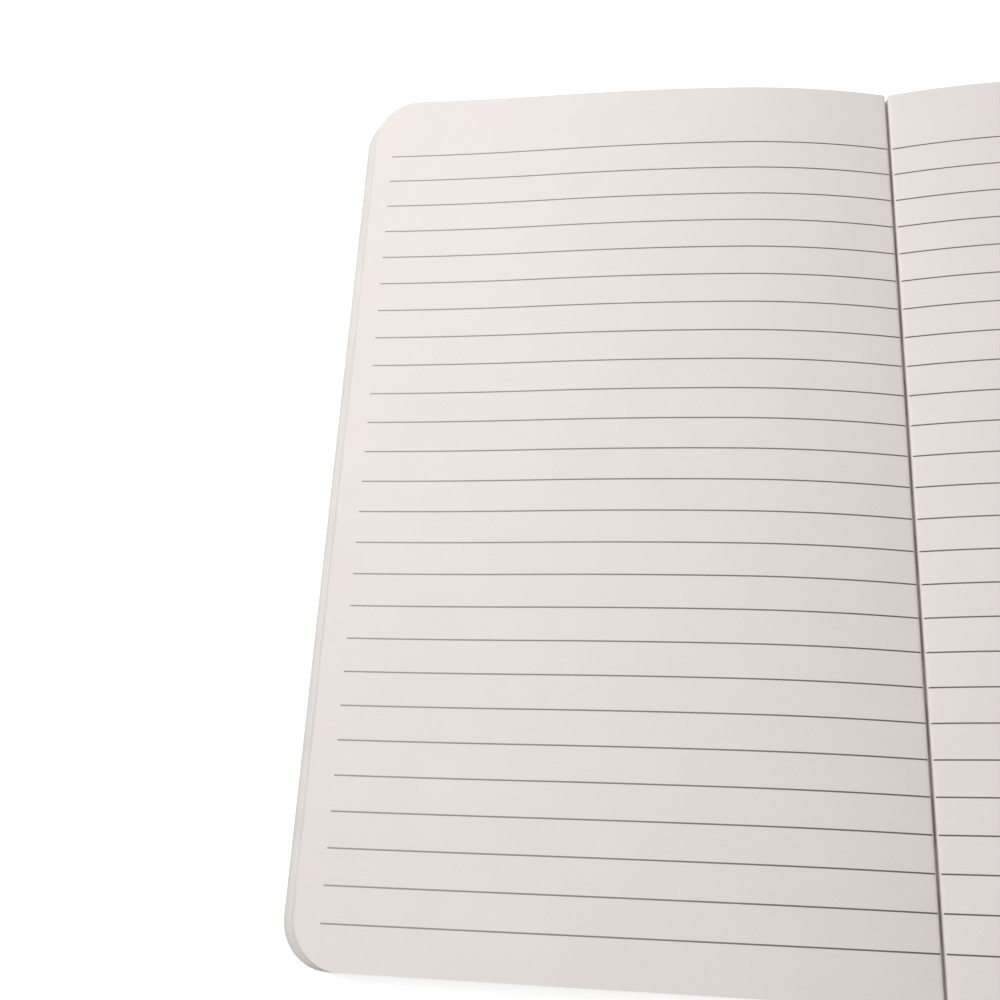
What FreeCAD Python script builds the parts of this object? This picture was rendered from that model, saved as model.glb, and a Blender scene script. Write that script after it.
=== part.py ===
"""Composition notebook lying open near its middle, in millimetres.

X runs across both pages, with the front half on -X. Y runs up the page to its head. Z is up.
The origin is under the middle of the spine, on the surface that the covers lie on.
The leaves are one solid, open at one spread. Each half arches up from its fore edge and falls into
the gutter. Every lower leaf reaches further out than the one above, so the fore edges slope.
Two boards lie under the leaves, trimmed flush with the lowest leaf. A strip of cloth joins them round
the spine. It is three solids, because its two edges are glued to boards that turn.
One thread is sewn through the fold of all the leaves.
"""

import math
import os

import FreeCAD
import Part
import Sketcher

# How a sketch numbers its origin, its upright axis and the points of a line or an arc.
ORIGIN = -1
UPRIGHT_AXIS = -2
START = 1
END = 2
CENTRE = 3

# Sides of the spine.
FRONT = -1
BACK = 1

doc = FreeCAD.newDocument("composition_notebook")
sheet = doc.addObject("Spreadsheet::Sheet", "Sizes")

ROWS = [
    ("page_height", "202.5", "Head to foot of every leaf, board and strip of cloth"),
    ("page_reach", "122.6", "Gutter to the fore edge of the top leaf, measured level"),
    ("fan_reach", "3.6", "How much further out the lowest leaf reaches than the top leaf"),
    ("corner_radius", "10", "Rounded outer corners of the leaves and the boards"),
    ("cut_margin", "2", "How far the cut of a corner runs past the paper"),
    ("edge_height", "6", "Top leaf at its fore edge, above the table"),
    ("lift_radius", "654", "Hollow curve of the page beside its fore edge"),
    ("lift_run", "42.9", "Level length of the hollow curve"),
    ("crown_radius", "566", "Crowned curve in the middle of the page"),
    ("crown_run", "42.9", "Level length of the crowned curve"),
    ("fall_radius", "165", "Tighter curve where the page falls to the gutter"),
    ("roll_radius", "0.8", "Last curve, where the page turns down into the gutter"),
    ("board_thickness", "1", "Cover board with its paper facing"),
    ("leaf_clearance", "0.1", "Air between a board and the lowest leaf"),
    ("spine_width", "11.4", "Sewn folds of the leaves, across the spine"),
    ("fold_height", "1.8", "Inside of the middle fold, above the table"),
    ("tape_thickness", "0.4", "Cloth of the spine strip"),
    ("tape_wing", "12", "Width of cloth glued on each board"),
    ("tape_bend", "0.6", "Free cloth between the spine and a board, where the cover turns"),
    ("thread_size", "0.5", "Thickness of the sewing thread"),
    ("thread_clearance", "0.1", "Room round the thread in its holes"),
    ("sewing_margin", "11.25", "End of the sewing to the head or the foot"),
    ("stitch_pairs", "10", "Stitches inside the fold, each followed by one outside it"),
    ("page_half", "=page_height / 2", "Half of the page height"),
    ("cover_reach", "=page_reach + fan_reach", "Middle of the spine to the outer edge of a board"),
    ("leaf_floor", "=board_thickness + leaf_clearance", "Underside of the lowest leaf"),
    ("spine_half", "=spine_width / 2", "Half of the spine width"),
    ("board_start", "=spine_half + tape_bend", "Middle of the spine to the inner edge of a board"),
    ("wing_end", "=board_start + tape_wing", "Middle of the spine to the edge of the cloth"),
    ("slot_half", "=thread_size / 2 + thread_clearance", "Half width of the gutter and stitch holes"),
    ("channel_top", "=tape_thickness + thread_size + thread_clearance", "Outside of the fold"),
    ("lift_end", "=page_reach - lift_run", "Gutter to the end of the hollow curve"),
    ("crown_end", "=lift_end - crown_run", "Gutter to the end of the crowned curve"),
    ("outer_thread", "=tape_thickness + thread_clearance / 2", "Underside of the outer stitches"),
    ("sewing_half", "=page_half - sewing_margin", "Half of the sewn length"),
    ("stitch_length", "=sewing_half / stitch_pairs", "One stitch"),
    ("second_hole", "=sewing_half - stitch_length", "Middle of the book to the second stitch hole"),
    ("third_hole", "=second_hole - stitch_length", "Middle of the book to the third stitch hole"),
    ("thread_half", "=thread_size / 2", "Half of the thread's thickness"),
]
for row, (alias, value, meaning) in enumerate(ROWS, start=1):
    sheet.set(f"A{row}", meaning)
    sheet.set(f"B{row}", value)
    sheet.setAlias(f"B{row}", alias)
doc.recompute()


def size(alias):
    """Value of one cell, in millimetres."""
    return float(sheet.get(alias))


def new_body(name):
    body = doc.addObject("PartDesign::Body", name)
    body.Label = name
    return body


def new_sketch(body, role, name):
    """Sketch on the origin plane of this role."""
    sketch = body.newObject("Sketcher::SketchObject", name)
    plane = next(item for item in body.Origin.OriginFeatures if item.Role == role)
    sketch.AttachmentSupport = (plane, [""])
    sketch.MapMode = "FlatFace"
    return sketch


def bind(sketch, constraint, formula):
    """Adds a constraint whose value follows a formula on the sheet."""
    index = sketch.addConstraint(constraint)
    sketch.setExpression(f"Constraints[{index}]", formula)


def place_x(sketch, item, point, x, formula):
    """Holds a point at a level distance from the origin, on the side where x already is."""
    ends = (item, point, ORIGIN, START) if x < 0 else (ORIGIN, START, item, point)
    bind(sketch, Sketcher.Constraint("DistanceX", *ends, abs(x)), formula)


def place_y(sketch, item, point, y, formula):
    """Holds a point at an upright distance from the origin, on the side where y already is."""
    ends = (item, point, ORIGIN, START) if y < 0 else (ORIGIN, START, item, point)
    bind(sketch, Sketcher.Constraint("DistanceY", *ends, abs(y)), formula)


def draw_loop(sketch, corners):
    """Closed loop of straight lines. Level and upright lines are kept so. Returns the first line."""
    first = sketch.GeometryCount
    points = [FreeCAD.Vector(x, y, 0) for x, y in corners]
    for start, end in zip(points, points[1:] + points[:1]):
        sketch.addGeometry(Part.LineSegment(start, end))
    for step, (start, end) in enumerate(zip(points, points[1:] + points[:1])):
        following = first + (step + 1) % len(points)
        sketch.addConstraint(Sketcher.Constraint("Coincident", first + step, END, following, START))
        direction = "Vertical" if start.x == end.x else "Horizontal"
        sketch.addConstraint(Sketcher.Constraint(direction, first + step))
    return first


def draw_rectangle(sketch, left, right, bottom, top):
    """Rectangle from four (value, formula) pairs. Each formula gives the distance from the origin."""
    corners = [(left[0], bottom[0]), (right[0], bottom[0]), (right[0], top[0]), (left[0], top[0])]
    first = draw_loop(sketch, corners)
    place_x(sketch, first, START, *left)
    place_x(sketch, first + 1, START, *right)
    place_y(sketch, first, START, *bottom)
    place_y(sketch, first + 2, START, *top)


def pad(body, sketch, name, formula):
    """Pad that starts on the sketch's plane."""
    feature = body.newObject("PartDesign::Pad", name)
    feature.Profile = sketch
    feature.setExpression("Length", formula)
    sketch.Visibility = False
    return feature


def round_upright_edges(body, base, name, reach):
    """Rounds the outer corners of a board: the upright edges beyond this distance from the spine."""
    doc.recompute()
    edges = []
    for number, edge in enumerate(base.Shape.Edges, start=1):
        ends = [vertex.Point for vertex in edge.Vertexes]
        far = min(abs(point.x) for point in ends) > reach
        upright = abs(ends[0].z - ends[-1].z) > size("board_thickness") / 2
        if far and upright:
            edges.append(f"Edge{number}")
    feature = body.newObject("PartDesign::Fillet", name)
    feature.Base = (base, edges)
    feature.setExpression("Radius", "Sizes.corner_radius")


def draw_corner_waste(sketch, side_y):
    """Paper outside one rounded corner of the lowest leaf. side_y is 1 at the head, -1 at the foot."""
    far = size("cover_reach")
    radius = size("corner_radius")
    half = size("page_half")
    margin = size("cut_margin")
    centre = FreeCAD.Vector(radius - far, side_y * (half - radius), 0)
    side_point = FreeCAD.Vector(-far, centre.y, 0)
    end_point = FreeCAD.Vector(centre.x, side_y * half, 0)
    outside = [
        end_point,
        FreeCAD.Vector(centre.x, side_y * (half + margin), 0),
        FreeCAD.Vector(-far - margin, side_y * (half + margin), 0),
        FreeCAD.Vector(-far - margin, centre.y, 0),
        side_point,
    ]
    lines = [
        sketch.addGeometry(Part.LineSegment(start, end)) for start, end in zip(outside, outside[1:])
    ]
    circle = Part.Circle(centre, FreeCAD.Vector(0, 0, 1), radius)
    quarter = math.pi / 2
    first_angle = quarter if side_y > 0 else 2 * quarter
    corner = sketch.addGeometry(Part.ArcOfCircle(circle, first_angle, first_angle + quarter))
    at_end, at_side = (START, END) if side_y > 0 else (END, START)
    for before, after in zip(lines, lines[1:]):
        sketch.addConstraint(Sketcher.Constraint("Coincident", before, END, after, START))
    sketch.addConstraint(Sketcher.Constraint("Coincident", lines[-1], END, corner, at_side))
    sketch.addConstraint(Sketcher.Constraint("Coincident", lines[0], START, corner, at_end))
    for upright in (lines[0], lines[2]):
        sketch.addConstraint(Sketcher.Constraint("Vertical", upright))
    for level in (lines[1], lines[3]):
        sketch.addConstraint(Sketcher.Constraint("Horizontal", level))
    sketch.addConstraint(Sketcher.Constraint("Vertical", corner, CENTRE, corner, at_end))
    sketch.addConstraint(Sketcher.Constraint("Horizontal", corner, CENTRE, corner, at_side))
    bind(sketch, Sketcher.Constraint("Radius", corner, radius), "Sizes.corner_radius")
    place_x(sketch, corner, CENTRE, centre.x, "Sizes.cover_reach - Sizes.corner_radius")
    place_y(sketch, corner, CENTRE, centre.y, "Sizes.page_half - Sizes.corner_radius")
    place_x(sketch, lines[2], START, -far - margin, "Sizes.cover_reach + Sizes.cut_margin")
    place_y(sketch, lines[1], START, side_y * (half + margin), "Sizes.page_half + Sizes.cut_margin")


def draw_half_profile(sketch):
    """Front half of the leaves, cut across, from the middle of the spine out to the fore edge."""
    reach = size("page_reach")
    far = size("cover_reach")
    floor = size("leaf_floor")
    edge = size("edge_height")
    spine = size("spine_half")
    slot = size("slot_half")
    tape = size("tape_thickness")
    channel = size("channel_top")
    fold = size("fold_height")
    lift = size("lift_radius")
    crown = size("crown_radius")
    fall = size("fall_radius")
    roll = size("roll_radius")

    lift_centre = FreeCAD.Vector(-reach, edge + lift, 0)
    lift_turn = math.asin(size("lift_run") / lift)
    inflection = lift_centre + FreeCAD.Vector(math.sin(lift_turn), -math.cos(lift_turn), 0) * lift
    crown_centre = lift_centre + (inflection - lift_centre) * ((lift + crown) / lift)
    crown_turn = math.asin((-size("crown_end") - crown_centre.x) / crown)
    crown_point = crown_centre + FreeCAD.Vector(math.sin(crown_turn), math.cos(crown_turn), 0) * crown
    fall_centre = crown_centre + (crown_point - crown_centre) * ((crown - fall) / crown)
    roll_x = -slot - roll
    roll_rise = math.sqrt((fall - roll) ** 2 - (roll_x - fall_centre.x) ** 2)
    roll_centre = FreeCAD.Vector(roll_x, fall_centre.y + roll_rise, 0)
    roll_point = fall_centre + (roll_centre - fall_centre) * (fall / (fall - roll))

    def angle(centre, point):
        return math.atan2(point.y - centre.y, point.x - centre.x)

    def arc(centre, radius, start, end):
        circle = Part.Circle(centre, FreeCAD.Vector(0, 0, 1), radius)
        item = Part.ArcOfCircle(circle, angle(centre, start), angle(centre, end))
        return sketch.addGeometry(item)

    def line(start, end):
        return sketch.addGeometry(Part.LineSegment(start, end))

    corners = [
        FreeCAD.Vector(x, y, 0)
        for x, y in [
            (0, fold),
            (0, channel),
            (-slot, channel),
            (-slot, tape),
            (-spine, tape),
            (-spine, floor),
            (-far, floor),
            (-reach, edge),
        ]
    ]
    lines = [line(start, end) for start, end in zip(corners, corners[1:])]
    lift_arc = arc(lift_centre, lift, corners[-1], inflection)
    crown_arc = arc(crown_centre, crown, crown_point, inflection)
    fall_arc = arc(fall_centre, fall, roll_point, crown_point)
    roll_end = FreeCAD.Vector(-slot, roll_centre.y, 0)
    roll_arc = arc(roll_centre, roll, roll_end, roll_point)
    gutter_foot = FreeCAD.Vector(-slot, fold, 0)
    wall = line(roll_end, gutter_foot)
    fold_line = line(gutter_foot, corners[0])

    for before, after in zip(lines, lines[1:]):
        sketch.addConstraint(Sketcher.Constraint("Coincident", before, END, after, START))
    sketch.addConstraint(Sketcher.Constraint("Coincident", lines[-1], END, lift_arc, START))
    sketch.addConstraint(Sketcher.Constraint("Tangent", lift_arc, END, crown_arc, END))
    sketch.addConstraint(Sketcher.Constraint("Tangent", crown_arc, START, fall_arc, END))
    sketch.addConstraint(Sketcher.Constraint("Tangent", fall_arc, START, roll_arc, END))
    sketch.addConstraint(Sketcher.Constraint("Tangent", roll_arc, START, wall, START))
    sketch.addConstraint(Sketcher.Constraint("Coincident", wall, END, fold_line, START))
    sketch.addConstraint(Sketcher.Constraint("Coincident", fold_line, END, lines[0], START))
    for upright in (lines[0], lines[2], lines[4], wall):
        sketch.addConstraint(Sketcher.Constraint("Vertical", upright))
    for level in (lines[1], lines[3], lines[5], fold_line):
        sketch.addConstraint(Sketcher.Constraint("Horizontal", level))
    sketch.addConstraint(Sketcher.Constraint("PointOnObject", lines[0], START, UPRIGHT_AXIS))
    sketch.addConstraint(Sketcher.Constraint("Vertical", lift_arc, CENTRE, lift_arc, START))
    place_y(sketch, lines[0], START, fold, "Sizes.fold_height")
    place_y(sketch, lines[1], START, channel, "Sizes.channel_top")
    place_x(sketch, lines[2], START, -slot, "Sizes.slot_half")
    place_y(sketch, lines[3], START, tape, "Sizes.tape_thickness")
    place_x(sketch, lines[4], START, -spine, "Sizes.spine_half")
    place_y(sketch, lines[5], START, floor, "Sizes.leaf_floor")
    place_x(sketch, lines[6], START, -far, "Sizes.cover_reach")
    place_x(sketch, lines[6], END, -reach, "Sizes.page_reach")
    place_y(sketch, lines[6], END, edge, "Sizes.edge_height")
    place_x(sketch, lift_arc, END, inflection.x, "Sizes.lift_end")
    place_x(sketch, crown_arc, START, crown_point.x, "Sizes.crown_end")
    place_x(sketch, wall, END, -slot, "Sizes.slot_half")
    bind(sketch, Sketcher.Constraint("Radius", lift_arc, lift), "Sizes.lift_radius")
    bind(sketch, Sketcher.Constraint("Radius", crown_arc, crown), "Sizes.crown_radius")
    bind(sketch, Sketcher.Constraint("Radius", fall_arc, fall), "Sizes.fall_radius")
    bind(sketch, Sketcher.Constraint("Radius", roll_arc, roll), "Sizes.roll_radius")


# Leaves: one solid. The front half is drawn across the spine, padded along it and mirrored.
leaves = new_body("leaves")
half_profile = new_sketch(leaves, "XZ_Plane", "leaves_half_profile")
draw_half_profile(half_profile)
front_half = pad(leaves, half_profile, "leaves_front_half", "Sizes.page_height")
front_half.Midplane = True
corner_outline = new_sketch(leaves, "XY_Plane", "leaves_corner_outline")
corner_outline.setExpression("AttachmentOffset.Base.z", "Sizes.leaf_floor")
for side_y in (1, -1):
    draw_corner_waste(corner_outline, side_y)
corner_cut = leaves.newObject("PartDesign::Pocket", "leaves_corners")
corner_cut.Profile = corner_outline
corner_cut.UseCustomVector = True
corner_cut.AlongSketchNormal = True
corner_cut.Direction = FreeCAD.Vector(size("fan_reach"), 0, size("edge_height") - size("leaf_floor"))
corner_cut.setExpression("Length", "Sizes.edge_height")
corner_outline.Visibility = False
both_halves = leaves.newObject("PartDesign::Mirrored", "leaves_both_halves")
both_halves.Originals = [front_half, corner_cut]
middle = next(item for item in leaves.Origin.OriginFeatures if item.Role == "YZ_Plane")
both_halves.MirrorPlane = (middle, [""])
leaves.Tip = both_halves

# Stitch holes through the fold, one at each end of every stitch.
hole_sketch = new_sketch(leaves, "XY_Plane", "leaves_hole_outline")
first_hole = -size("sewing_half")
draw_rectangle(
    hole_sketch,
    (-size("slot_half"), "Sizes.slot_half"),
    (size("slot_half"), "Sizes.slot_half"),
    (first_hole - size("slot_half"), "Sizes.sewing_half + Sizes.slot_half"),
    (first_hole + size("slot_half"), "Sizes.sewing_half - Sizes.slot_half"),
)
hole = leaves.newObject("PartDesign::Pocket", "leaves_first_hole")
hole.Profile = hole_sketch
hole.Type = "ThroughAll"
hole.Reversed = True
hole_sketch.Visibility = False
holes = leaves.newObject("PartDesign::LinearPattern", "leaves_stitch_holes")
holes.Originals = [hole]
holes.Direction = (hole_sketch, ["V_Axis"])
holes.setExpression("Length", "Sizes.sewing_half * 2")
holes.setExpression("Occurrences", "Sizes.stitch_pairs * 2 + 1")
leaves.Tip = holes


def build_cover(name, side):
    """Board with two rounded corners, and a shallow step outside for the glued edge of the cloth."""
    body = new_body(name)
    outline = new_sketch(body, "XY_Plane", name + "_outline")
    reach = size("cover_reach")
    start = size("board_start")
    half = size("page_half")
    wing = size("wing_end")
    inner = (side * start, "Sizes.board_start")
    outer = (side * reach, "Sizes.cover_reach")
    foot = (-half, "Sizes.page_half")
    head = (half, "Sizes.page_half")
    draw_rectangle(outline, inner, outer, foot, head)
    board = pad(body, outline, name + "_board", "Sizes.board_thickness")
    round_upright_edges(body, board, name + "_corners", wing)
    step_outline = new_sketch(body, "XY_Plane", name + "_step_outline")
    draw_rectangle(step_outline, inner, (side * wing, "Sizes.wing_end"), foot, head)
    step = body.newObject("PartDesign::Pocket", name + "_step")
    step.Profile = step_outline
    step.Reversed = True
    step.setExpression("Length", "Sizes.tape_thickness")
    step_outline.Visibility = False
    body.Tip = step
    return body


def build_strip(name, near, far):
    """Flat strip of cloth, the full height of the book, between two (value, formula) edges."""
    body = new_body(name)
    outline = new_sketch(body, "XY_Plane", name + "_outline")
    half = size("page_half")
    draw_rectangle(outline, near, far, (-half, "Sizes.page_half"), (half, "Sizes.page_half"))
    body.Tip = pad(body, outline, name + "_cloth", "Sizes.tape_thickness")
    return body


front_cover = build_cover("front_cover", FRONT)
back_cover = build_cover("back_cover", BACK)

spine_edge = size("spine_half")
spine_tape = build_strip(
    "spine_tape",
    (-spine_edge, "Sizes.spine_half"),
    (spine_edge, "Sizes.spine_half"),
)
front_tape = build_strip(
    "front_tape",
    (FRONT * size("wing_end"), "Sizes.wing_end"),
    (FRONT * size("board_start"), "Sizes.board_start"),
)
back_tape = build_strip(
    "back_tape",
    (BACK * size("board_start"), "Sizes.board_start"),
    (BACK * size("wing_end"), "Sizes.wing_end"),
)

# Thread: one stitch inside the fold and one outside it, repeated from foot to head.
thread = new_body("thread")
stitch_outline = new_sketch(thread, "YZ_Plane", "thread_outline")
first = -size("sewing_half")
second = -size("second_hole")
third = -size("third_hole")
thread_half = size("thread_half")
low = size("outer_thread")
low_top = low + size("thread_size")
high = size("fold_height")
high_top = high + size("thread_size")
first_line = draw_loop(
    stitch_outline,
    [
        (first - thread_half, low),
        (first - thread_half, high_top),
        (second + thread_half, high_top),
        (second + thread_half, low_top),
        (third + thread_half, low_top),
        (third + thread_half, low),
        (second - thread_half, low),
        (second - thread_half, high),
        (first + thread_half, high),
        (first + thread_half, low),
    ],
)
for step, value, formula in [
    (0, first - thread_half, "Sizes.sewing_half + Sizes.thread_half"),
    (2, second + thread_half, "Sizes.second_hole - Sizes.thread_half"),
    (4, third + thread_half, "Sizes.third_hole - Sizes.thread_half"),
    (6, second - thread_half, "Sizes.second_hole + Sizes.thread_half"),
    (8, first + thread_half, "Sizes.sewing_half - Sizes.thread_half"),
]:
    place_x(stitch_outline, first_line + step, START, value, formula)
for step, value, formula in [
    (0, low, "Sizes.outer_thread"),
    (1, high_top, "Sizes.fold_height + Sizes.thread_size"),
    (3, low_top, "Sizes.outer_thread + Sizes.thread_size"),
    (5, low, "Sizes.outer_thread"),
    (7, high, "Sizes.fold_height"),
]:
    place_y(stitch_outline, first_line + step, START, value, formula)
stitch_pair = pad(thread, stitch_outline, "thread_stitch_pair", "Sizes.thread_size")
stitch_pair.Midplane = True
stitches = thread.newObject("PartDesign::LinearPattern", "thread_stitches")
stitches.Originals = [stitch_pair]
stitches.Direction = (stitch_outline, ["H_Axis"])
stitches.setExpression("Length", "Sizes.stitch_length * 2 * (Sizes.stitch_pairs - 1)")
stitches.setExpression("Occurrences", "Sizes.stitch_pairs")
thread.Tip = stitches

doc.recompute()
for item in doc.Objects:
    if "Invalid" in item.State or "Error" in item.State:
        raise RuntimeError(f"{item.Name} did not build: {item.State}")

os.makedirs("parts", exist_ok=True)
for body in (leaves, front_cover, back_cover, spine_tape, front_tape, back_tape, thread):
    shape = body.Shape
    if shape.isNull() or not shape.isValid() or len(shape.Solids) != 1:
        raise RuntimeError(f"{body.Label} is not one valid solid")
    box = shape.BoundBox
    print(f"{body.Label}: {shape.Volume:.1f} mm3, {box.XMin:.2f} to {box.XMax:.2f}, "
          f"{box.YMin:.2f} to {box.YMax:.2f}, {box.ZMin:.2f} to {box.ZMax:.2f}")
    shape.exportStep(f"parts/{body.Label}.step")
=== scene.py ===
"""Looks of a composition notebook that lies open near its middle. Metres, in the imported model's frame:
X across both pages, with the front half on -X, Y up the pages to their heads, and Z up."""
import math

import bpy
import numpy as np
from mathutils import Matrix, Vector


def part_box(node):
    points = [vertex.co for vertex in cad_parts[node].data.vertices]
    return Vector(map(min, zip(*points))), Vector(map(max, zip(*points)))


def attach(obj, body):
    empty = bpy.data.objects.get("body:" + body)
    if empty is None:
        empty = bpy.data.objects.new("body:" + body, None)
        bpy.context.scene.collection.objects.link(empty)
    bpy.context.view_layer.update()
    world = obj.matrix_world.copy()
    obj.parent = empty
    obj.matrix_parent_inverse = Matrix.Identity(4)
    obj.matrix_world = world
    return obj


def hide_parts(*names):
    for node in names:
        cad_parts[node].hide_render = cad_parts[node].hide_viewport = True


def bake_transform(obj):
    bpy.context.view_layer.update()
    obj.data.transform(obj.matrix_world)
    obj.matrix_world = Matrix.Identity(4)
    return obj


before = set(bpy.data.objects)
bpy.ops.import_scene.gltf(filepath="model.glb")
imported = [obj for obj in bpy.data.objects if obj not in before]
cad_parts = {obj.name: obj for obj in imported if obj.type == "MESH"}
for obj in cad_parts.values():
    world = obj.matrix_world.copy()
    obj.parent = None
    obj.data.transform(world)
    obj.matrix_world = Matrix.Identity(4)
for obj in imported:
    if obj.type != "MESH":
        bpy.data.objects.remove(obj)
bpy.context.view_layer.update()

# ------------------------------------------------------------------------------------------------
# Folded sheets below the open spread. Forty-nine sheets of smooth uncoated paper, folded together,
# sewn through the fold and trimmed on three sides with rounded corners. Each reaches a little less
# far out than the one outside it, and each has slipped or been trimmed a hair differently.
# ------------------------------------------------------------------------------------------------
sheet_count = 50
paper_share = 0.86
page_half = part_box("leaves")[1][1]
cover_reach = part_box("leaves")[1][0]
fan_reach = 0.0036
page_reach = cover_reach - fan_reach
corner_radius = 0.010
edge_height = 0.006
leaf_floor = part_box("front_cover")[1][2] + 0.0001
lift_radius, lift_run = 0.654, 0.0429
crown_radius, crown_run = 0.566, 0.0429
fall_radius = 0.165
roll_radius = 0.0008
slot_half = 0.00035
fold_height = 0.0018
inner_turn, outer_turn = 0.0003, 0.0005
cloth_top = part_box("spine_tape")[1][2]
spine_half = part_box("spine_tape")[1][0]
stitch_room, stitch_ramp = 0.0006, 0.0004
shoulder = 0.0004
arc_points, roll_step, roll_points = 41, 5, 8
fold_points, turn_points, wall_points = 3, 5, 3
flat_columns, corner_columns = 34, 12


def page_section():
    """Open page cut across, as distances from the fold and heights, from the fore edge inwards. Four
    arcs, each starting at the slope where the last one ends: along an arc the distance changes by the
    radius times the change in the slope's sine, and the height by the radius times the change in its
    cosine. The first arc is hollow, so its radius is negative."""
    lift_sine = lift_run / lift_radius
    crown_sine = lift_sine - crown_run / crown_radius
    inner = page_reach - slot_half - roll_radius
    fall_sine = lift_run + crown_run + fall_radius * crown_sine - inner
    fall_sine /= fall_radius - roll_radius
    slopes = np.array([0.0, *np.arcsin([lift_sine, crown_sine, fall_sine]), -math.pi / 2])
    radii = np.array([-lift_radius, crown_radius, fall_radius, roll_radius])
    slope = slopes[:-1, None] + np.linspace(0.0, 1.0, arc_points) * np.diff(slopes)[:, None]
    run = radii[:, None] * (np.sin(slopes[:-1, None]) - np.sin(slope))
    rise = radii[:, None] * (np.cos(slope) - np.cos(slopes[:-1, None]))
    run += np.concatenate([[0.0], np.cumsum(run[:-1, -1])])[:, None]
    rise += np.concatenate([[0.0], np.cumsum(rise[:-1, -1])])[:, None]
    return page_reach - run.ravel(), edge_height + rise.ravel()


def page_columns(start, reach):
    """Distances out: evenly spaced up to the rounded corner, then reach - radius + radius * sine of an
    even angle, so that they crowd towards the fore edge and the corner is smooth."""
    straight = np.linspace(start, reach - corner_radius, flat_columns)[:-1]
    angle = np.linspace(0.0, math.pi / 2, corner_columns)
    return np.concatenate([straight, reach - corner_radius * (1.0 - np.sin(angle))])


def half_length(distance, reach, radius=corner_radius, half=page_half):
    """Half length of a leaf or a board at this distance out: half - radius * (1 - root(1 - past^2)),
    where past is how far the distance is into the corner, as a share of the radius."""
    past = np.clip((distance - reach) / radius + 1.0, 0.0, 1.0)
    return half - radius * (1.0 - np.sqrt(1.0 - past**2))


def quarter_turn(distance, height, radius):
    """Quarter circle that starts level at the bottom and ends upright: distance - radius * (1 - sine)
    across and height + radius * (1 - cosine) up, at even angles."""
    angle = np.linspace(0.0, math.pi / 2, turn_points)
    across = distance - radius * (1.0 - np.sin(angle))
    return np.stack([across, height + radius * (1.0 - np.cos(angle))])


def fold_limits():
    """Innermost and outermost lines of the folded sheets, cut across from the middle of the fold out:
    level along the fold, round a quarter circle, up the wall, over the roll and out along the page.
    The outermost line is raised over the stitches, and has a level shoulder in place of the roll. Both
    have the same columns, so a sheet lies at its own share of the way between them."""
    distance, height = page_section()
    roll = slice(-1, -arc_points, -roll_step)
    fold = np.linspace(0.0, slot_half - inner_turn, fold_points, endpoint=False)
    wall = np.linspace(fold_height + inner_turn, height[-1], wall_points + 2)[1:-1]
    columns = page_columns(slot_half + roll_radius, page_reach)
    inner = np.concatenate([
        [fold, np.full(fold_points, fold_height)],
        quarter_turn(slot_half, fold_height, inner_turn),
        [np.full(wall_points, slot_half), wall],
        [distance[roll], height[roll]],
        [columns, np.interp(columns, distance[::-1], height[::-1])],
    ], axis=1)
    fold = [0.0, stitch_room / 2, stitch_room / 2 + stitch_ramp]
    wall = np.linspace(cloth_top + outer_turn, leaf_floor, wall_points + 2)[1:-1]
    level_part = np.linspace(spine_half, spine_half + shoulder, roll_points, endpoint=False)
    columns = page_columns(spine_half + shoulder, cover_reach)
    outer = np.concatenate([
        [fold, [cloth_top + stitch_room, cloth_top + stitch_room, cloth_top]],
        quarter_turn(spine_half, cloth_top, outer_turn),
        [np.full(wall_points, spine_half), wall],
        [level_part, np.full(roll_points, leaf_floor)],
        [columns, np.full(columns.size, leaf_floor)],
    ], axis=1)
    return inner, outer


inner_line, outer_line = fold_limits()


def fold_line(level, trim=0.0):
    """Layer of a folded sheet across both halves. The level is 0 at the outermost line and 1 at the
    innermost, and a point lies that share of the way between the two."""
    distance, height = outer_line + level * (inner_line - outer_line)
    length = half_length(distance, cover_reach - level * fan_reach, half=page_half - trim)
    front_half = np.stack([-distance, height, length])[:, :0:-1]
    return np.concatenate([front_half, [distance, height, length]], axis=1)


def closed_shell(layers, rows):
    """Closed mesh through layers, lowest first. A layer gives each column's place across, height and
    half length. Rows run along each column at even shares of its length. The first and last layers
    are filled, and the rims of neighbouring layers are joined. Returns vertices and quads."""
    across, height, length = np.stack(layers).transpose(1, 0, 2)[..., None]
    share = np.linspace(-1.0, 1.0, rows)
    grid = np.stack(np.broadcast_arrays(across, length * share, height), axis=-1)
    number = np.arange(grid[..., 0].size).reshape(grid.shape[:-1])
    near, far = number[:, :-1], number[:, 1:]
    cells = np.stack([near[..., :-1], far[..., :-1], far[..., 1:], near[..., 1:]], axis=-1)
    sides = [near[..., 0], number[:, -1, :-1], far[:, ::-1, -1], number[:, 0, :0:-1]]
    rim = np.concatenate(sides, axis=1)
    after = np.roll(rim, -1, axis=1)
    walls = np.stack([rim[:-1], after[:-1], after[1:], rim[1:]], axis=-1)
    faces = [cells[-1].reshape(-1, 4), cells[0, ..., ::-1].reshape(-1, 4), walls.reshape(-1, 4)]
    used, faces = np.unique(np.concatenate(faces), return_inverse=True)
    return grid.reshape(-1, 3)[used], faces.reshape(-1, 4)


def new_piece(name, slot, vertices, faces, crease=35):
    """Mesh object, smooth except where faces meet at more than the crease. The slot is not used."""
    mesh = bpy.data.meshes.new(name)
    mesh.from_pydata(vertices, [], faces)
    mesh.shade_smooth()
    mesh.set_sharp_from_angle(angle=math.radians(crease))
    piece = bpy.data.objects.new(name, mesh)
    bpy.context.scene.collection.objects.link(piece)
    return piece


most_trim, most_slip, most_tilt = 0.0001, 0.00016, 0.00006
slip_power = 8
sheet_rows = 3
sheet_seed = 11


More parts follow.
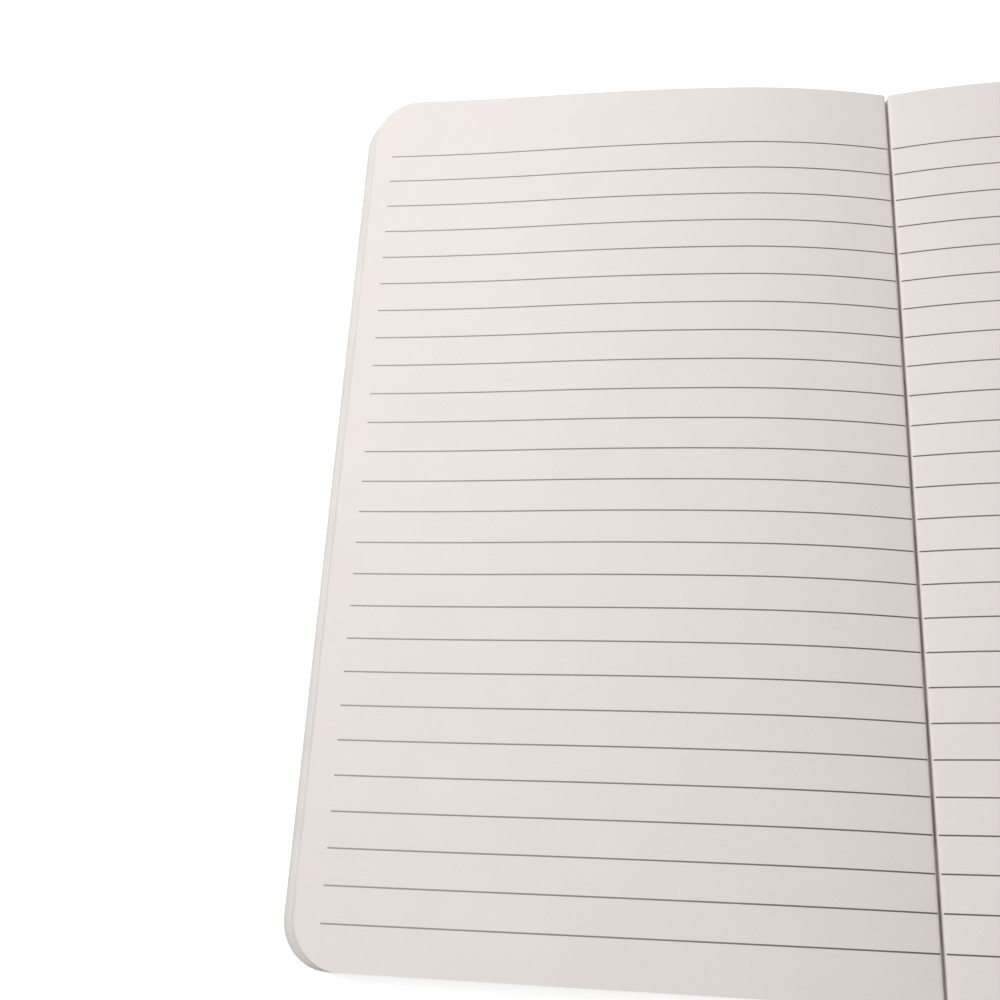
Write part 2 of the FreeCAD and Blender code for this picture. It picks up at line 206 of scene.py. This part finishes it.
def lower_sheets(count):
    """All sheets but the open one, as closed shells from outermost to innermost. A sheet fills the
    paper's share of its level, and the rest is air. Its fore edges slip in by up to its own amount and
    turn by its own tilt, both growing with a high power of the distance out. Returns vertices, quads
    and each vertex's tint, alike over a sheet."""
    chance = np.random.default_rng(sheet_seed)
    blocks, quads, tints = [], [], []
    for number in range(count):
        trim = most_trim * chance.random() ** 2
        levels = number / sheet_count, (number + paper_share) / sheet_count
        vertices, faces = closed_shell([fold_line(level, trim) for level in levels], sheet_rows)
        outward = (np.abs(vertices[:, 0]) / cover_reach) ** slip_power
        slip = most_slip * chance.random(2) ** 2
        tilt = most_tilt * chance.uniform(-1.0, 1.0, 2)
        half = (vertices[:, 0] > 0).astype(int)
        drawn_in = slip[half] + np.abs(tilt[half]) + tilt[half] * vertices[:, 1] / page_half
        vertices[:, 0] -= np.sign(vertices[:, 0]) * outward * drawn_in
        quads.append(faces + sum(map(len, blocks)))
        blocks.append(vertices)
        tints.append(np.full(len(vertices), chance.random()))
    return np.concatenate(blocks), np.concatenate(quads), np.concatenate(tints)


sheet_vertices, sheet_faces, sheet_tints = lower_sheets(sheet_count - 1)
folded_sheets = new_piece("folded_sheets", "paper", sheet_vertices, sheet_faces)
folded_sheets.data.attributes.new("tint", "FLOAT", "POINT").data.foreach_set("value", sheet_tints)
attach(folded_sheets, "block")
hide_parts("leaves")


def feed(tree, node, inputs):
    """Feeds a node's inputs, given by name or by number. A socket is linked, and a value is set."""
    for key, value in inputs.items():
        if isinstance(value, bpy.types.NodeSocket):
            tree.links.new(value, node.inputs[key])
        else:
            node.inputs[key].default_value = value


def put(tree, kind, inputs=None, output=0, **settings):
    """Adds a node with these settings and inputs, and returns one of its outputs."""
    node = tree.nodes.new(kind)
    for key, value in settings.items():
        setattr(node, key, value)
    feed(tree, node, inputs or {})
    return node.outputs[output]


def maths(tree, operation, *values):
    """Result of a Math node with these inputs, in order."""
    return put(tree, "ShaderNodeMath", dict(enumerate(values)), operation=operation)


def spread(tree, share, low, high):
    """Value that is low at share 0 and high at share 1, on a straight line."""
    return maths(tree, "MULTIPLY_ADD", share, high - low, low)


def blended(tree, share, first, second):
    """Colour that is the first at share 0 and the second at share 1. On a Mix node the sockets for
    colours are inputs 6 and 7 and output 2."""
    return put(tree, "ShaderNodeMix", {0: share, 6: first, 7: second}, output=2, data_type="RGBA")


def stepped(tree, value, start, end):
    """Share that eases from 0 where the value is start to 1 where it is end."""
    inputs = {"Value": value, "From Min": start, "From Max": end}
    return put(tree, "ShaderNodeMapRange", inputs, interpolation_type="SMOOTHSTEP")


def here(tree):
    """Place on the piece, in metres."""
    return put(tree, "ShaderNodeTexCoord", output="Object")


def noise(tree, place, scale, **inputs):
    """Soft noise, from 0 to 1, with about as many clouds in a metre as the scale says."""
    return put(tree, "ShaderNodeTexNoise", {"Vector": place, "Scale": scale, **inputs})


def bumped(tree, height, strength, distance):
    """Normal of a surface on which a height of 1 stands up by the distance, in metres."""
    inputs = {"Height": height, "Strength": strength, "Distance": distance}
    return put(tree, "ShaderNodeBump", inputs, output="Normal")


def new_group(name, inputs, outputs):
    """Node group with float inputs, given with their usual values, and float outputs. Returns the
    group, its input sockets by name, and a function that feeds its outputs."""
    group = bpy.data.node_groups.new(name, "ShaderNodeTree")
    kind = {"socket_type": "NodeSocketFloat"}
    for label, value in inputs.items():
        group.interface.new_socket(label, in_out="INPUT", **kind).default_value = value
    for label in outputs:
        group.interface.new_socket(label, in_out="OUTPUT", **kind)
    sources = group.nodes.new("NodeGroupInput").outputs
    result = group.nodes.new("NodeGroupOutput")
    return group, sources, lambda values: feed(group, result, values)


def new_material(name):
    """Material with its node tree and its Principled shader."""
    material = bpy.data.materials.new(name)
    material.use_nodes = True
    return material, material.node_tree, material.node_tree.nodes["Principled BSDF"]


# Grain of paper and board: soft clouds where the pulp settled, and the felted fibres of the surface.
usual_scales = {"Cloud Scale": 140, "Fibre Scale": 2600}
paper_grain, sources, give = new_group("paper_grain", usual_scales, ["Cloud", "Fibre"])
cloud = noise(paper_grain, here(paper_grain), sources["Cloud Scale"], Detail=3.0)
matted = {"Detail": 4.0, "Roughness": 0.6, "Distortion": 2.2}
give({"Cloud": cloud, "Fibre": noise(paper_grain, here(paper_grain), sources["Fibre Scale"], **matted)})


def grained(tree, scales=None):
    """The paper grain's outputs, Cloud and Fibre, with these scales in place of the usual ones."""
    return put(tree, "ShaderNodeGroup", scales, node_tree=paper_grain).node.outputs


# The cut sheets are painted darker than the same paper on the open sheet, as painted shade between the
# leaves. Within that, each sheet's tint and the clouds vary their tone at random.
edge_dark_painted_shade, edge_pale_painted_shade = (0.62, 0.59, 0.56, 1), (0.85, 0.81, 0.775, 1)
cloud_part, tint_part = 0.5, 0.6

cut_paper, tree, shader = new_material("cut_paper")
grain = grained(tree)
tint = put(tree, "ShaderNodeAttribute", output="Fac", attribute_name="tint")
shade = maths(tree, "MULTIPLY_ADD", grain["Cloud"], cloud_part, maths(tree, "MULTIPLY", tint, tint_part))
feed(tree, shader, {"Base Color": blended(tree, shade, edge_dark_painted_shade, edge_pale_painted_shade), "Roughness": 0.92})
feed(tree, shader, {"Normal": bumped(tree, grain["Fibre"], strength=0.5, distance=0.00003)})
folded_sheets.data.materials.append(cut_paper)

# ------------------------------------------------------------------------------------------------
# The open sheet, innermost in the fold. Both open pages are this one sheet of paper. It is creased
# into the gutter, and towards its fore edges it stands off the sheet below in slow, shallow waves.
# ------------------------------------------------------------------------------------------------
wave_height, wave_length = 0.00028, 0.118
wave_start, wave_turn = 0.060, 1.9
page_rows = 61


def wave(across, along):
    """How far the open sheet stands off the one below: the wave's height, times the square of the share
    of the way from the start to the fore edge, times 1 + a sine of the place along the page, halved.
    The sine is shifted by the turn, one way on the front page and the other way on the back page."""
    outward = np.clip((np.abs(across) - wave_start) / (page_reach - wave_start), 0.0, 1.0)
    phase = 2 * math.pi * along / wave_length + wave_turn * np.sign(across)
    return wave_height * outward**2 * (1.0 + np.sin(phase)) / 2


top_sheet = [fold_line(1.0 - paper_share / sheet_count), fold_line(1.0)]
vertices, faces = closed_shell(top_sheet, page_rows)
vertices[:, 2] += wave(vertices[:, 0], vertices[:, 1])
open_sheet = new_piece("open_sheet", "paper", vertices, faces)
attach(open_sheet, "block")

paper_shade, paper_light = (0.810, 0.750, 0.716, 1), (0.900, 0.837, 0.804, 1)
cloud_part, felt_part = 0.5, 0.5

smooth_paper, tree, shader = new_material("smooth_paper")
grain = grained(tree, {"Cloud Scale": 90})
felt = stepped(tree, grain["Fibre"], start=0.34, end=0.66)
shade = maths(tree, "MULTIPLY_ADD", grain["Cloud"], cloud_part, maths(tree, "MULTIPLY", felt, felt_part))
feed(tree, shader, {"Base Color": blended(tree, shade, paper_shade, paper_light)})
feed(tree, shader, {"Roughness": spread(tree, grain["Fibre"], low=0.78, high=0.90)})
feed(tree, shader, {"Normal": bumped(tree, grain["Fibre"], strength=0.5, distance=0.00006)})
open_sheet.data.materials.append(smooth_paper)

# ------------------------------------------------------------------------------------------------
# Ruling. Twenty-six fine lines of grey-brown ink on each open page, college ruled, which stop short
# of the fore edge and run into the gutter. A film of ink, a hundredth of a millimetre proud. The sheet
# went through the press a little askew, so the lines turn by the same small angle on both pages.
# ------------------------------------------------------------------------------------------------
line_pitch = 0.0071
line_count = 26
line_width = 0.00030
line_margin = 0.00462
ruling_gap = 0.0002
ruling_middle = -0.0029
ruling_skew = 0.0068
end_room = 0.001
ink_film = 0.00001


def ruled_lines(side):
    """Flat ribbons along one page. Across, their points are the page's own columns, so that they lie on
    it. Along, line n lies at the middle + (n - half of the last number) * pitch + skew * the place
    across. Its outer end lies the margin inside the page, moved across by -skew * the place along."""
    distance, height = inner_line
    start, end = slot_half + ruling_gap, page_reach - line_margin
    inside = (distance > start) & (distance < end - end_room)
    across = np.tile(np.concatenate([[start], distance[inside], [end]]), (line_count, 1))
    number = np.arange(line_count)[:, None]
    along = ruling_middle + (number - (line_count - 1) / 2) * line_pitch
    across[:, -1:] -= side * ruling_skew * along
    x = side * across[..., None]
    y = (along + ruling_skew * side * across)[..., None] + np.array([-0.5, 0.5]) * line_width
    rise = np.interp(across, distance, height)[..., None] + ink_film
    x, y, rise = np.broadcast_arrays(x, y, rise)
    grid = np.stack([x, y, rise + wave(x, y)], axis=-1)[:, ::side]
    point = np.arange(x.size).reshape(x.shape)
    corners = [point[:, :-1, 0], point[:, 1:, 0], point[:, 1:, 1], point[:, :-1, 1]]
    return grid.reshape(-1, 3), np.stack(corners, axis=-1).reshape(-1, 4)


front_ruling = new_piece("front_ruling", "paper", *ruled_lines(-1))
back_ruling = new_piece("back_ruling", "paper", *ruled_lines(1))
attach(front_ruling, "block")
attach(back_ruling, "block")

# The ink is mottled by the paper's grain, and it thins out steadily from the fold to the fore edge. At
# 0 or less it is dense, and at 1 or more it is thin.
ink_dense, ink_thin = (0.11, 0.095, 0.085, 1), (0.42, 0.375, 0.35, 1)
fade_at_fold, fade_per_metre = -0.27, 6.7
fibre_part = 0.9

ink, tree, shader = new_material("ruling_ink")
grain = grained(tree, {"Cloud Scale": 60, "Fibre Scale": 5200})
outward = maths(tree, "ABSOLUTE", put(tree, "ShaderNodeSeparateXYZ", {0: here(tree)}, output="X"))
fading = maths(tree, "MULTIPLY_ADD", outward, fade_per_metre, fade_at_fold)
clouds = spread(tree, grain["Cloud"], low=-0.25, high=-0.05)
mottle = maths(tree, "MULTIPLY_ADD", grain["Fibre"], fibre_part, clouds)
thinness = maths(tree, "ADD", mottle, fading)
feed(tree, shader, {"Base Color": blended(tree, thinness, ink_dense, ink_thin), "Roughness": 0.75})
for ruling in (front_ruling, back_ruling):
    ruling.data.materials.append(ink)

# ------------------------------------------------------------------------------------------------
# Sewing thread. One length of two-ply cotton, in running stitches through the fold: nine
# millimetres inside it, through a hole, and nine outside it against the cloth.
# ------------------------------------------------------------------------------------------------
thread_low, thread_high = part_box("thread")
thread_radius = thread_high[0]
stitch_count = 20
turn_radius = 0.00045
twist_length = 0.0011
ply_depth = 0.26
ring_spacing = 0.00028
ring_points, bend_points = 12, 6


def thread_line():
    """Centre line in the YZ plane, evenly spaced. It goes up, along, down and along between the corner
    points: corner n is at hole n // 2, on the level (n + 1) // 2 modulo 2. Each corner is a quarter
    circle: its centre, minus the leaving direction times the cosine, plus the arriving direction times
    the sine. The cut ends reach past the first and the last corner by the thread's radius."""
    ends = np.linspace(thread_low[1] + thread_radius, thread_high[1] - thread_radius, stitch_count + 1)
    levels = np.array([thread_low[2] + thread_radius, thread_high[2] - thread_radius])
    corner = np.arange(2 * stitch_count + 1)
    corners = np.stack([ends[corner // 2], levels[(corner + 1) // 2 % 2]], axis=-1)
    corners[0, 1] -= thread_radius
    corners[-1, 0] += thread_radius
    steps = np.diff(corners, axis=0)
    ways = steps / np.linalg.norm(steps, axis=1, keepdims=True)
    arriving, leaving = ways[:-1, None], ways[1:, None]
    angle = np.linspace(0.0, math.pi / 2, bend_points)[:, None]
    centre = corners[1:-1, None] + turn_radius * (leaving - arriving)
    bends = centre + turn_radius * (arriving * np.sin(angle) - leaving * np.cos(angle))
    line = np.concatenate([corners[:1], bends.reshape(-1, 2), corners[-1:]])
    reached = np.concatenate([[0.0], np.cumsum(np.linalg.norm(np.diff(line, axis=0), axis=1))])
    even = np.linspace(0.0, reached[-1], int(reached[-1] / ring_spacing))
    along, height = (np.interp(even, reached, values) for values in line.T)
    return np.stack([along, height], axis=-1), even


def twisted_thread():
    """Tube round the centre line, with closed ends. Its radius is the thread's, times 1 - depth +
    depth * |cosine| of the angle round the line less the twist, which gives two plies."""
    line, reached = thread_line()
    ahead = np.gradient(line, axis=0)
    ahead /= np.linalg.norm(ahead, axis=1, keepdims=True)
    angle = np.linspace(0.0, 2 * math.pi, ring_points, endpoint=False)
    lobes = np.abs(np.cos(angle - 2 * math.pi * reached[:, None] / twist_length))
    radius = thread_radius * (1.0 - ply_depth + ply_depth * lobes)
    away = radius * np.sin(angle)
    along = line[:, :1] - ahead[:, 1:] * away
    height = line[:, 1:] + ahead[:, :1] * away
    grid = np.stack([radius * np.cos(angle), along, height], axis=-1)
    number = np.arange(radius.size).reshape(radius.shape)
    after = np.roll(number, -1, axis=1)
    quads = np.stack([number[:-1], number[1:], after[1:], after[:-1]], axis=-1).reshape(-1, 4)
    return grid.reshape(-1, 3), [*quads.tolist(), number[0].tolist(), number[-1, ::-1].tolist()]


sewing_thread = new_piece("sewing_thread", "thread", *twisted_thread(), crease=60)
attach(sewing_thread, "block")
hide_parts("thread")

cotton_shade, cotton_light = (0.60, 0.56, 0.48, 1), (0.86, 0.83, 0.76, 1)
cotton, tree, shader = new_material("cotton_thread")
hairs = noise(tree, here(tree), scale=9000.0, Detail=3.0, Distortion=1.0)
feed(tree, shader, {"Base Color": blended(tree, hairs, cotton_shade, cotton_light)})
feed(tree, shader, {"Roughness": 0.85, "Normal": bumped(tree, hairs, strength=0.6, distance=0.00003)})
sewing_thread.data.materials.append(cotton)

# ------------------------------------------------------------------------------------------------
# Cover boards. Grey millboard with a dark grained paper pasted outside and a plain off-white lining
# inside, trimmed flush with the leaves, so that the cut edge shows all three. A shallow step in the
# outer face takes the edge of the spine cloth.
# ------------------------------------------------------------------------------------------------
board_low, board_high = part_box("back_cover")
board_start, board_thickness = board_low[0], board_high[2]
wing_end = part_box("back_tape")[1][0]
board_round = 0.00012
facing_thickness, lining_thickness = 0.00014, 0.00010
paste_line = 0.00002
step_slope, step_room = 0.00001, 0.01
board_flat_columns, board_corner_columns = 8, 14
board_rows = 9


def board_layer(inset, height):
    """Layer of the back board, drawn in from its outline by the inset. From the spine out come the step
    under the cloth, the flat, and the corner at reach - radius * (1 - sine) of even angles. The step
    lifts the underside to the top of the cloth, and fades away to nothing at the top of the board."""
    reach = cover_reach - inset
    radius = corner_radius - inset
    angle = np.linspace(0.0, math.pi / 2, board_corner_columns)
    across = np.concatenate([
        [board_start + inset, wing_end, wing_end + step_slope],
        np.linspace(wing_end + step_room, reach - radius, board_flat_columns)[:-1],
        reach - radius * (1.0 - np.sin(angle)),
    ])
    rise = np.full(across.size, height)
    rise[:2] += cloth_top * (1.0 - height / board_thickness)
    return np.stack([across, rise, half_length(across, reach, radius, page_half - inset)])


def mirrored(vertices, faces):
    """The same shell on the other side of the spine, with its faces still pointing out."""
    return vertices * [-1, 1, 1], faces[:, ::-1]


board = closed_shell([
    board_layer(board_round, 0.0),
    board_layer(0.0, board_round),
    board_layer(0.0, board_thickness - board_round / 2),
    board_layer(board_round / 2, board_thickness),
], board_rows)
back_board = new_piece("back_board", "board", *board)
front_board = new_piece("front_board", "board", *mirrored(*board))
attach(back_board, "back")
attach(front_board, "front")
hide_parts("back_cover")
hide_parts("front_cover")

# Wear along the outline of the covers: 1 at the rim and 0 further in, with a ragged border. How far in
# a point lies is the corner's radius, less its distance past the corner's centre. That distance is the
# root of the two squares in a corner, and the larger of the two elsewhere.
rim_wear, sources, give = new_group("rim_wear", {"Width": 0.0006, "Ragged": 0.0009}, ["Wear"])
x, y, _ = put(rim_wear, "ShaderNodeSeparateXYZ", {0: here(rim_wear)}).node.outputs
past_x = maths(rim_wear, "SUBTRACT", maths(rim_wear, "ABSOLUTE", x), cover_reach - corner_radius)
past_y = maths(rim_wear, "SUBTRACT", maths(rim_wear, "ABSOLUTE", y), page_half - corner_radius)
square_x = maths(rim_wear, "POWER", maths(rim_wear, "MAXIMUM", past_x, 0.0), 2.0)
square_y = maths(rim_wear, "POWER", maths(rim_wear, "MAXIMUM", past_y, 0.0), 2.0)
round_out = maths(rim_wear, "SQRT", maths(rim_wear, "ADD", square_x, square_y))
inside = maths(rim_wear, "MINIMUM", maths(rim_wear, "MAXIMUM", past_x, past_y), 0.0)
depth = maths(rim_wear, "SUBTRACT", corner_radius, maths(rim_wear, "ADD", round_out, inside))
rough = noise(rim_wear, here(rim_wear), scale=700.0, Detail=4.0, Roughness=0.65)
ragged = maths(rim_wear, "MULTIPLY", maths(rim_wear, "SUBTRACT", rough, 0.5), sources["Ragged"])
worn = maths(rim_wear, "DIVIDE", maths(rim_wear, "ADD", depth, ragged), sources["Width"])
give({"Wear": stepped(rim_wear, worn, start=1.0, end=0.3)})

facing_crease_painted_shade, facing_worn_cell_top = (0.010, 0.010, 0.011, 1), (0.056, 0.056, 0.060, 1)
core_shade, core_light = (0.17, 0.155, 0.135, 1), (0.38, 0.35, 0.31, 1)
lining_shade, lining_light = (0.70, 0.67, 0.61, 1), (0.78, 0.75, 0.69, 1)
crease_bend, crease_width = 0.0009, 0.28
pebble_part = 0.8

cover_board, tree, shader = new_material("cover_board")
place = here(tree)
level = put(tree, "ShaderNodeSeparateXYZ", {0: place}, output="Z")
grain = grained(tree, {"Cloud Scale": 55, "Fibre Scale": 1700})
wear = put(tree, "ShaderNodeGroup", node_tree=rim_wear)
# Pebbled grain of the facing: raised cells, with creases for borders, which the noise bends.
bend = noise(tree, place, scale=900.0, Detail=1.0).node.outputs["Color"]
bent = {0: bend, 1: (crease_bend, crease_bend, crease_bend), 2: place}
bent = put(tree, "ShaderNodeVectorMath", bent, operation="MULTIPLY_ADD")
cells = {"Vector": bent, "Scale": 1100.0, "Randomness": 1.0}
creases = put(tree, "ShaderNodeTexVoronoi", cells, feature="DISTANCE_TO_EDGE")
pebble = stepped(tree, creases, start=0.0, end=crease_width)
# The facing is painted darkest in the creases between the cells, as painted shade, and lighter on the
# raised cells, as wear of their tops.
raised = maths(tree, "MULTIPLY", pebble, spread(tree, grain["Cloud"], low=0.1, high=1.5))
# The three layers of the board, by their height. Where the facing is worn, the core shows.
facing = blended(tree, raised, facing_crease_painted_shade, facing_worn_cell_top)
core = blended(tree, grain["Fibre"], core_shade, core_light)
lining = blended(tree, grain["Cloud"], lining_shade, lining_light)
in_core = stepped(tree, level, start=facing_thickness, end=facing_thickness + paste_line)
lining_level = board_thickness - lining_thickness
in_lining = stepped(tree, level, start=lining_level - paste_line, end=lining_level)
layers = blended(tree, in_core, blended(tree, wear, facing, core), core)
layers = blended(tree, in_lining, layers, lining)
pressed = maths(tree, "SUBTRACT", 1.0, in_core)
pebbled = maths(tree, "MULTIPLY", pebble, pressed)
height = maths(tree, "MULTIPLY_ADD", pebbled, pebble_part, grain["Fibre"])
gloss = spread(tree, maths(tree, "SUBTRACT", pressed, wear), low=0.88, high=0.53)
relief = bumped(tree, height, strength=0.5, distance=0.00006)
feed(tree, shader, {"Base Color": layers, "Roughness": gloss, "Normal": relief})
for piece in (front_board, back_board):
    piece.data.materials.append(cover_board)

# ------------------------------------------------------------------------------------------------
# Spine cloth. One strip of black woven book cloth, glued round the sewn fold and on to both boards.
# It is made in two halves that meet at the middle of the spine.
# ------------------------------------------------------------------------------------------------
cloth_round = 0.00005
cloth_rows = 41
bend_start, bend_end = spine_half, board_start
bend_room = 0.0004
spine_columns, bend_columns, wing_columns = 5, 22, 7


def cloth_layer(inset, height):
    """Layer of the back half of the strip, drawn in from its outline by the inset, with its columns
    close together where it bends."""
    across = np.concatenate([
        np.linspace(0.0, bend_start - bend_room, spine_columns)[:-1],
        np.linspace(bend_start - bend_room, bend_end + bend_room, bend_columns)[:-1],
        np.linspace(bend_end + bend_room, wing_end - inset, wing_columns),
    ])
    return np.stack([across, np.full(across.size, height), np.full(across.size, page_half - inset)])


strip = closed_shell([
    cloth_layer(cloth_round, 0.0),
    cloth_layer(0.0, cloth_round),
    cloth_layer(0.0, cloth_top - cloth_round),
    cloth_layer(cloth_round, cloth_top),
], cloth_rows)
back_cloth = new_piece("back_cloth", "cloth", *strip)
front_cloth = new_piece("front_cloth", "cloth", *mirrored(*strip))
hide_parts("back_tape")
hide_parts("front_tape", "spine_tape")
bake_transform(back_cloth)
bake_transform(front_cloth)

# Plain weave: the rounded warp shows where it is over, and the rounded weft where it is under. Slubs,
# where a yarn is thicker, are long streaks along both ways of the cloth.
yarn_pitch = 0.00042
across_slub, along_slub, slub_power = 2400.0, 45.0, 3.0
cloth_dark_and_gap_shade, cloth_pale_yarn_crown = (0.008, 0.008, 0.009, 1), (0.085, 0.085, 0.090, 1)
dye_worn = (0.14, 0.135, 0.13, 1)

book_cloth, tree, shader = new_material("book_cloth")
place = here(tree)
x, y, _ = put(tree, "ShaderNodeSeparateXYZ", {0: place}).node.outputs
warp = maths(tree, "DIVIDE", x, yarn_pitch)
weft = maths(tree, "DIVIDE", y, yarn_pitch)
crossing = maths(tree, "ADD", maths(tree, "FLOOR", warp), maths(tree, "FLOOR", weft))
under = maths(tree, "FLOORED_MODULO", crossing, 2.0)
round_warp = maths(tree, "ABSOLUTE", maths(tree, "SINE", maths(tree, "MULTIPLY", warp, math.pi)))
round_weft = maths(tree, "ABSOLUTE", maths(tree, "SINE", maths(tree, "MULTIPLY", weft, math.pi)))
over_warp = maths(tree, "MULTIPLY", round_warp, maths(tree, "SQRT", round_weft))
over_weft = maths(tree, "MULTIPLY", round_weft, maths(tree, "SQRT", round_warp))
lifted = maths(tree, "MULTIPLY", maths(tree, "SUBTRACT", over_weft, over_warp), under)
weave = maths(tree, "ADD", over_warp, lifted)
lint = noise(tree, place, scale=3000.0, Detail=4.0, Roughness=0.7)
wear = put(tree, "ShaderNodeGroup", {"Width": 0.0005, "Ragged": 0.0010}, node_tree=rim_wear)
slubs = []
for stretch in ((across_slub, along_slub, 1.0), (along_slub, across_slub, 1.0)):
    streaks = put(tree, "ShaderNodeVectorMath", {0: place, 1: stretch}, operation="MULTIPLY")
    slubs.append(noise(tree, streaks, scale=1.0, Detail=2.0))
slub = maths(tree, "POWER", maths(tree, "ADD", *slubs), slub_power)
# The cloth's colour follows the weave. It is painted darker where the yarns dip away at their crossings,
# as painted shade, and paler on their rounded crowns. The lint and slubs vary the yarn's own tone.
shade = maths(tree, "MULTIPLY", maths(tree, "MULTIPLY", weave, lint), slub)
cloth_tone_and_weave_shade = blended(tree, shade, cloth_dark_and_gap_shade, cloth_pale_yarn_crown)
feed(tree, shader, {"Base Color": blended(tree, wear, cloth_tone_and_weave_shade, dye_worn), "Sheen Weight": 0.1})
feed(tree, shader, {"Roughness": spread(tree, weave, low=0.85, high=0.70)})
feed(tree, shader, {"Normal": bumped(tree, weave, strength=0.8, distance=0.00009)})
for piece in (front_cloth, back_cloth):
    piece.data.materials.append(book_cloth)

# ------------------------------------------------------------------------------------------------
# Floor, light and camera. A white floor and an even white room. One soft square lamp stands above the
# head of the front page, so that the light falls off gently towards the foot and the gutter. A weaker
# one stands low beside the foot of the back page and lights the cut edges there.
# ------------------------------------------------------------------------------------------------
floor_half, floor_depth = 3.0, 0.00005
floor_corners = np.array([(-1, -1, 0), (1, -1, 0), (1, 1, 0), (-1, 1, 0)]) * floor_half
floor_mesh = bpy.data.meshes.new("floor")
floor_mesh.from_pydata(floor_corners - (0, 0, floor_depth), [], [(0, 1, 2, 3)])
floor = bpy.data.objects.new("floor", floor_mesh)
bpy.context.scene.collection.objects.link(floor)


def seen_directly(tree):
    """1 for what the camera sees, in a mirror or through glass too, and 0 for light on the object."""
    rays = tree.nodes.new("ShaderNodeLightPath").outputs
    mirrored_rays = maths(tree, "MAXIMUM", rays["Is Glossy Ray"], rays["Is Transmission Ray"])
    return maths(tree, "MAXIMUM", rays["Is Camera Ray"], mirrored_rays)


# The floor is plain pale paint. Where it is seen directly it also glows, so that it is white with the
# notebook's soft shadow on it. The glow grows from the near to the far ring, as the lamps fade there.
floor_lit, floor_seen = (0.85, 0.85, 0.85, 1), (0.80, 0.80, 0.80, 1)
near_ring, far_ring = 0.15, 0.60
near_glow, far_glow = 0.64, 0.74

floor_paint, tree, shader = new_material("floor_paint")
seen = seen_directly(tree)
away = put(tree, "ShaderNodeVectorMath", {0: here(tree)}, output="Value", operation="LENGTH")
glow = spread(tree, stepped(tree, away, start=near_ring, end=far_ring), low=near_glow, high=far_glow)
glow = maths(tree, "MULTIPLY", seen, glow)
feed(tree, shader, {"Base Color": blended(tree, seen, floor_lit, floor_seen)})
feed(tree, shader, {"Emission Color": (1, 1, 1, 1), "Emission Strength": glow})
feed(tree, shader, {"Roughness": 1.0, "Specular IOR Level": 0.0})
floor_mesh.materials.append(floor_paint)

# The room is white where it is seen directly, and dimmer as a light.
room_light = 0.41
room = bpy.data.worlds.new("room")
bpy.context.scene.world = room
room.use_nodes = True
tree = room.node_tree
strength = spread(tree, seen_directly(tree), low=room_light, high=1.0)
feed(tree, tree.nodes["Background"], {"Color": (1, 1, 1, 1), "Strength": strength})


def soft_lamp(name, place, size, power):
    """Square lamp that faces the middle of the notebook. It tips by the angle between straight down and
    the middle, and turns about the upright to where it stands."""
    light = bpy.data.lights.new(name, "AREA")
    light.size = size
    light.energy = power
    lamp = bpy.data.objects.new(name, light)
    x, y, z = place
    lamp.location = place
    lamp.rotation_euler = (math.atan2(math.hypot(x, y), z), 0, math.atan2(x, -y))
    lamp.visible_camera = False
    bpy.context.scene.collection.objects.link(lamp)


soft_lamp("main_lamp", (-0.40, 0.18, 0.46), size=0.35, power=2.45)
soft_lamp("side_lamp", (0.65, -0.55, 0.14), size=0.40, power=1.2)

# The camera looks down on the front page from above its foot, tilted towards its head and turned a
# little, as a camera held in the hand.
camera_data = bpy.data.cameras.new("camera")
camera_data.lens = 44.084
camera_data.sensor_width = 36
camera_data.clip_start = 0.01
camera = bpy.data.objects.new("camera", camera_data)
camera.location = (-0.05521, -0.09622, 0.25246)
camera.rotation_euler = [math.radians(angle) for angle in (20.714, 6.189, 3.169)]
bpy.context.scene.collection.objects.link(camera)
bpy.context.scene.camera = camera
bpy.context.scene.view_settings.view_transform = "Standard"
